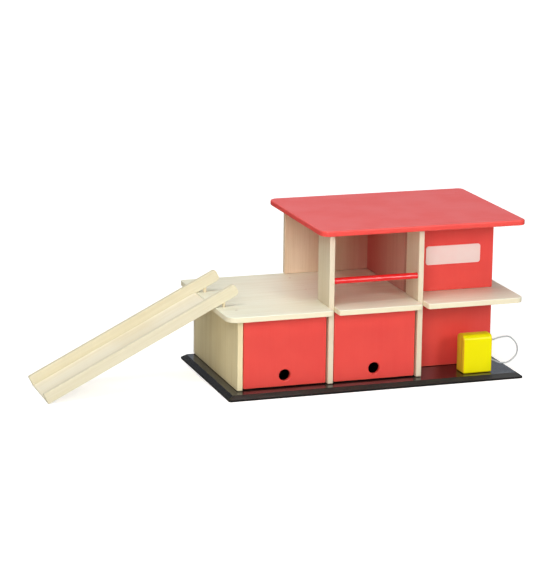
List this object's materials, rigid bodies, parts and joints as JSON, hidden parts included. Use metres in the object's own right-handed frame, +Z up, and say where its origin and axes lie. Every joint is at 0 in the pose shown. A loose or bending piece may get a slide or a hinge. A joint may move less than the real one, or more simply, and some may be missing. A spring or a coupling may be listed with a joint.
{
  "type": "toy garage",
  "caption": "Wooden toy garage with flap-door bays, a parking deck, an open upper storey under a red roof, a fuel pump with a hose loop and a lift-off ramp.",
  "frame": {"origin": "centre of the base board's underside", "axes": "+X to the right along the front, away from the ramp; +Y to the back; +Z up"},
  "size_m": [0.5327, 0.185, 0.179],
  "materials": {
    "bare_wood": "bare sanded plywood",
    "ramp_wood": "bare sanded wood, a little yellower than the boards",
    "red_paint": "satin red paint on plywood",
    "black_paint": "satin black paint on plywood",
    "yellow_paint": "gloss yellow paint on solid wood",
    "white_plastic": "smooth white plastic",
    "steel": "plain steel wire"
  },
  "bodies": {
    "garage": {"left_wall": "bare_wood", "divider_left": "bare_wood", "divider_right": "bare_wood", "right_wall_lower": "bare_wood", "back_wall_lower": "bare_wood", "back_wall_upper": "bare_wood", "deck": "bare_wood", "pump_dowel": "bare_wood", "roof": "red_paint", "railing_rod": "red_paint", "shop_front_lower": "red_paint", "shop_front_upper": "red_paint", "shop_side_upper": "red_paint", "right_wall_upper": "red_paint", "base_board": "black_paint", "pump_body": "yellow_paint", "pump_hose": "white_plastic", "roof_nail_1": "steel", "roof_nail_2": "steel", "roof_nail_3": "steel", "roof_nail_4": "steel", "roof_nail_5": "steel", "roof_nail_6": "steel", "deck_nail_1": "steel", "deck_nail_2": "steel", "deck_nail_3": "steel", "deck_nail_4": "steel", "deck_nail_5": "steel", "deck_nail_6": "steel", "back_nail_1": "steel", "back_nail_2": "steel", "back_nail_3": "steel", "back_nail_4": "steel", "back_nail_5": "steel", "back_nail_6": "steel", "back_nail_7": "steel", "back_nail_8": "steel", "back_nail_9": "steel", "back_nail_10": "steel", "back_nail_11": "steel", "back_nail_12": "steel", "base_screw_1": "steel", "base_screw_2": "steel", "base_screw_3": "steel", "base_screw_4": "steel", "base_screw_5": "steel", "base_screw_6": "steel", "base_screw_7": "steel", "base_screw_8": "steel"},
    "door_left": {"door_left": "red_paint", "door_left_pin_left": "steel", "door_left_pin_right": "steel"},
    "door_right": {"door_right": "red_paint", "door_right_pin_left": "steel", "door_right_pin_right": "steel"},
    "ramp": {"ramp_floor": "ramp_wood", "ramp_rail_front": "ramp_wood", "ramp_rail_rear": "ramp_wood", "ramp_peg_front": "ramp_wood", "ramp_peg_rear": "ramp_wood"}
  },
  "joints": [
    {"name": "door_left_hinge", "type": "hinge", "parent": "garage", "child": "door_left", "pos_m": [-0.10125, -0.0695, 0.081], "axis": [-1, 0, 0], "range_deg": [-90, 92]},
    {"name": "door_right_hinge", "type": "hinge", "parent": "garage", "child": "door_right", "pos_m": [0.00125, -0.0695, 0.081], "axis": [-1, 0, 0], "range_deg": [-90, 92]},
    {"name": "ramp_lift", "type": "slide", "parent": "garage", "child": "ramp", "axis": [0, 0, 1], "range_m": [0, 0.03]}
  ]
}
